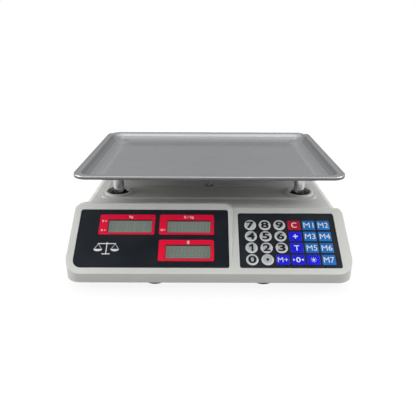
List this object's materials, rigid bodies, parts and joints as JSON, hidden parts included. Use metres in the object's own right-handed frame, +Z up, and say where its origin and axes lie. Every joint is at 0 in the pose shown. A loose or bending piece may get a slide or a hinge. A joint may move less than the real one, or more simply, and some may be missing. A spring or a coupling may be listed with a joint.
{
  "type": "retail price scale",
  "caption": "Counter price-computing scale: stainless pan on posts over a load cell, sloped console with displays and keypad, shopper display at the back, levelling feet.",
  "frame": {"origin": "centre of the footprint on the counter surface", "axes": "+Z up, +X to the operator's right, +Y away from the operator, so the console faces -Y"},
  "size_m": [0.3414, 0.32, 0.1186],
  "materials": {
    "case_plastic": "fine moulded texture, warm light grey",
    "base_plastic": "dark moulded plastic",
    "smoked_lens": "gloss smoked acrylic",
    "lcd_glass": "grey-green liquid crystal glass",
    "circuit_board": "solder mask",
    "keypad_film": "semi-gloss polyester film",
    "level_acrylic": "clear acrylic",
    "cell_aluminium": "machined",
    "zinc_steel": "zinc plated",
    "cast_aluminium": "die cast",
    "post_chrome": "bright chrome plate",
    "black_rubber": "matte",
    "pan_stainless": "fine brushed stainless steel",
    "battery_plastic": "plain",
    "black_plastic": "satin",
    "rocker_plastic": "satin",
    "cable_plastic": "flat grey",
    "key_silver": "silver print under film",
    "key_red": "crimson print under film",
    "key_blue": "blue print under film",
    "key_cyan": "mid blue print under film"
  },
  "bodies": {
    "case": {"top_case": "case_plastic", "base_shell": "base_plastic", "display_lens": "smoked_lens", "front_lcds": "lcd_glass", "display_board": "circuit_board", "keypad_overlay": "keypad_film", "keypad_board": "circuit_board", "bubble_level": "level_acrylic", "load_cell": "cell_aluminium", "cell_spacer": "zinc_steel", "cell_bolts": "zinc_steel", "main_board": "circuit_board", "battery": "battery_plastic", "power_inlet": "black_plastic", "switch_housing": "black_plastic", "rear_lens": "smoked_lens", "rear_lcds": "lcd_glass", "rear_board": "circuit_board", "case_screws": "zinc_steel", "board_screws": "zinc_steel", "ribbon_cables": "cable_plastic"},
    "platform": {"spider": "cast_aluminium", "spider_bolts": "zinc_steel", "pan_posts": "post_chrome", "post_boots": "black_rubber"},
    "weighing_pan": {"pan": "pan_stainless"},
    "battery_door": {"battery_cover": "base_plastic"},
    "rocker": {"power_rocker": "rocker_plastic"},
    "key_7_cap": {"key_7": "key_silver"},
    "key_8_cap": {"key_8": "key_silver"},
    "key_9_cap": {"key_9": "key_silver"},
    "key_clear_cap": {"key_clear": "key_red"},
    "key_m1_cap": {"key_m1": "key_cyan"},
    "key_m2_cap": {"key_m2": "key_cyan"},
    "key_4_cap": {"key_4": "key_silver"},
    "key_5_cap": {"key_5": "key_silver"},
    "key_6_cap": {"key_6": "key_silver"},
    "key_add_cap": {"key_add": "key_blue"},
    "key_m3_cap": {"key_m3": "key_cyan"},
    "key_m4_cap": {"key_m4": "key_cyan"},
    "key_1_cap": {"key_1": "key_silver"},
    "key_2_cap": {"key_2": "key_silver"},
    "key_3_cap": {"key_3": "key_silver"},
    "key_tare_cap": {"key_tare": "key_blue"},
    "key_m5_cap": {"key_m5": "key_cyan"},
    "key_m6_cap": {"key_m6": "key_cyan"},
    "key_0_cap": {"key_0": "key_silver"},
    "key_point_cap": {"key_point": "key_silver"},
    "key_store_cap": {"key_store": "key_blue"},
    "key_zero_cap": {"key_zero": "key_blue"},
    "key_light_cap": {"key_light": "key_blue"},
    "key_m7_cap": {"key_m7": "key_cyan"},
    "foot_pad_fl": {"foot_sole_fl": "black_rubber"},
    "foot_screw_fl": {"foot_stud_fl": "zinc_steel"},
    "foot_pad_fr": {"foot_sole_fr": "black_rubber"},
    "foot_screw_fr": {"foot_stud_fr": "zinc_steel"},
    "foot_pad_rl": {"foot_sole_rl": "black_rubber"},
    "foot_screw_rl": {"foot_stud_rl": "zinc_steel"},
    "foot_pad_rr": {"foot_sole_rr": "black_rubber"},
    "foot_screw_rr": {"foot_stud_rr": "zinc_steel"}
  },
  "joints": [
    {"name": "platform_deflection", "type": "slide", "parent": "case", "child": "platform", "axis": [0, 0, -1], "range_m": [0, 0.0005], "stiffness_N_per_m": 100000, "deforming": ["load_cell"]},
    {"name": "pan_lift", "type": "slide", "parent": "platform", "child": "weighing_pan", "axis": [0, 0, 1], "range_m": [0, 0.08]},
    {"name": "battery_cover_removal", "type": "slide", "parent": "case", "child": "battery_door", "axis": [0, 0, -1], "range_m": [0, 0.006], "stiffness_N_per_m": 300},
    {"name": "power_rocker_tilt", "type": "hinge", "parent": "case", "child": "rocker", "pos_m": [0.1644, 0.09, 0.031], "axis": [0, 0, 1], "range_deg": [0, 18]},
    {"name": "key_7_press", "type": "slide", "parent": "case", "child": "key_7_cap", "axis": [0, 0.5358, -0.8443], "range_m": [0, 0.0006], "stiffness_N_per_m": 400},
    {"name": "key_8_press", "type": "slide", "parent": "case", "child": "key_8_cap", "axis": [0, 0.5358, -0.8443], "range_m": [0, 0.0006], "stiffness_N_per_m": 400},
    {"name": "key_9_press", "type": "slide", "parent": "case", "child": "key_9_cap", "axis": [0, 0.5358, -0.8443], "range_m": [0, 0.0006], "stiffness_N_per_m": 400},
    {"name": "key_clear_press", "type": "slide", "parent": "case", "child": "key_clear_cap", "axis": [0, 0.5358, -0.8443], "range_m": [0, 0.0006], "stiffness_N_per_m": 400},
    {"name": "key_m1_press", "type": "slide", "parent": "case", "child": "key_m1_cap", "axis": [0, 0.5358, -0.8443], "range_m": [0, 0.0006], "stiffness_N_per_m": 400},
    {"name": "key_m2_press", "type": "slide", "parent": "case", "child": "key_m2_cap", "axis": [0, 0.5358, -0.8443], "range_m": [0, 0.0006], "stiffness_N_per_m": 400},
    {"name": "key_4_press", "type": "slide", "parent": "case", "child": "key_4_cap", "axis": [0, 0.5358, -0.8443], "range_m": [0, 0.0006], "stiffness_N_per_m": 400},
    {"name": "key_5_press", "type": "slide", "parent": "case", "child": "key_5_cap", "axis": [0, 0.5358, -0.8443], "range_m": [0, 0.0006], "stiffness_N_per_m": 400},
    {"name": "key_6_press", "type": "slide", "parent": "case", "child": "key_6_cap", "axis": [0, 0.5358, -0.8443], "range_m": [0, 0.0006], "stiffness_N_per_m": 400},
    {"name": "key_add_press", "type": "slide", "parent": "case", "child": "key_add_cap", "axis": [0, 0.5358, -0.8443], "range_m": [0, 0.0006], "stiffness_N_per_m": 400},
    {"name": "key_m3_press", "type": "slide", "parent": "case", "child": "key_m3_cap", "axis": [0, 0.5358, -0.8443], "range_m": [0, 0.0006], "stiffness_N_per_m": 400},
    {"name": "key_m4_press", "type": "slide", "parent": "case", "child": "key_m4_cap", "axis": [0, 0.5358, -0.8443], "range_m": [0, 0.0006], "stiffness_N_per_m": 400},
    {"name": "key_1_press", "type": "slide", "parent": "case", "child": "key_1_cap", "axis": [0, 0.5358, -0.8443], "range_m": [0, 0.0006], "stiffness_N_per_m": 400},
    {"name": "key_2_press", "type": "slide", "parent": "case", "child": "key_2_cap", "axis": [0, 0.5358, -0.8443], "range_m": [0, 0.0006], "stiffness_N_per_m": 400},
    {"name": "key_3_press", "type": "slide", "parent": "case", "child": "key_3_cap", "axis": [0, 0.5358, -0.8443], "range_m": [0, 0.0006], "stiffness_N_per_m": 400},
    {"name": "key_tare_press", "type": "slide", "parent": "case", "child": "key_tare_cap", "axis": [0, 0.5358, -0.8443], "range_m": [0, 0.0006], "stiffness_N_per_m": 400},
    {"name": "key_m5_press", "type": "slide", "parent": "case", "child": "key_m5_cap", "axis": [0, 0.5358, -0.8443], "range_m": [0, 0.0006], "stiffness_N_per_m": 400},
    {"name": "key_m6_press", "type": "slide", "parent": "case", "child": "key_m6_cap", "axis": [0, 0.5358, -0.8443], "range_m": [0, 0.0006], "stiffness_N_per_m": 400},
    {"name": "key_0_press", "type": "slide", "parent": "case", "child": "key_0_cap", "axis": [0, 0.5358, -0.8443], "range_m": [0, 0.0006], "stiffness_N_per_m": 400},
    {"name": "key_point_press", "type": "slide", "parent": "case", "child": "key_point_cap", "axis": [0, 0.5358, -0.8443], "range_m": [0, 0.0006], "stiffness_N_per_m": 400},
    {"name": "key_store_press", "type": "slide", "parent": "case", "child": "key_store_cap", "axis": [0, 0.5358, -0.8443], "range_m": [0, 0.0006], "stiffness_N_per_m": 400},
    {"name": "key_zero_press", "type": "slide", "parent": "case", "child": "key_zero_cap", "axis": [0, 0.5358, -0.8443], "range_m": [0, 0.0006], "stiffness_N_per_m": 400},
    {"name": "key_light_press", "type": "slide", "parent": "case", "child": "key_light_cap", "axis": [0, 0.5358, -0.8443], "range_m": [0, 0.0006], "stiffness_N_per_m": 400},
    {"name": "key_m7_press", "type": "slide", "parent": "case", "child": "key_m7_cap", "axis": [0, 0.5358, -0.8443], "range_m": [0, 0.0006], "stiffness_N_per_m": 400},
    {"name": "foot_height_fl", "type": "slide", "parent": "case", "child": "foot_pad_fl", "axis": [0, 0, -1], "range_m": [0, 0.006]},
    {"name": "foot_turn_fl", "type": "hinge", "parent": "foot_pad_fl", "child": "foot_screw_fl", "pos_m": [-0.0658, -0.1332, 0.004], "axis": [0, 0, 1], "range_deg": [0, 1730]},
    {"name": "foot_height_fr", "type": "slide", "parent": "case", "child": "foot_pad_fr", "axis": [0, 0, -1], "range_m": [0, 0.006]},
    {"name": "foot_turn_fr", "type": "hinge", "parent": "foot_pad_fr", "child": "foot_screw_fr", "pos_m": [0.0658, -0.1332, 0.004], "axis": [0, 0, 1], "range_deg": [0, 1730]},
    {"name": "foot_height_rl", "type": "slide", "parent": "case", "child": "foot_pad_rl", "axis": [0, 0, -1], "range_m": [0, 0.006]},
    {"name": "foot_turn_rl", "type": "hinge", "parent": "foot_pad_rl", "child": "foot_screw_rl", "pos_m": [-0.0658, 0.1332, 0.004], "axis": [0, 0, 1], "range_deg": [0, 1730]},
    {"name": "foot_height_rr", "type": "slide", "parent": "case", "child": "foot_pad_rr", "axis": [0, 0, -1], "range_m": [0, 0.006]},
    {"name": "foot_turn_rr", "type": "hinge", "parent": "foot_pad_rr", "child": "foot_screw_rr", "pos_m": [0.0658, 0.1332, 0.004], "axis": [0, 0, 1], "range_deg": [0, 1730]}
  ],
  "couplings": [
    {"joint": "foot_turn_fl", "follows": "foot_height_fl", "rad_per_m": 5026.5},
    {"joint": "foot_turn_fr", "follows": "foot_height_fr", "rad_per_m": 5026.5},
    {"joint": "foot_turn_rl", "follows": "foot_height_rl", "rad_per_m": 5026.5},
    {"joint": "foot_turn_rr", "follows": "foot_height_rr", "rad_per_m": 5026.5}
  ]
}
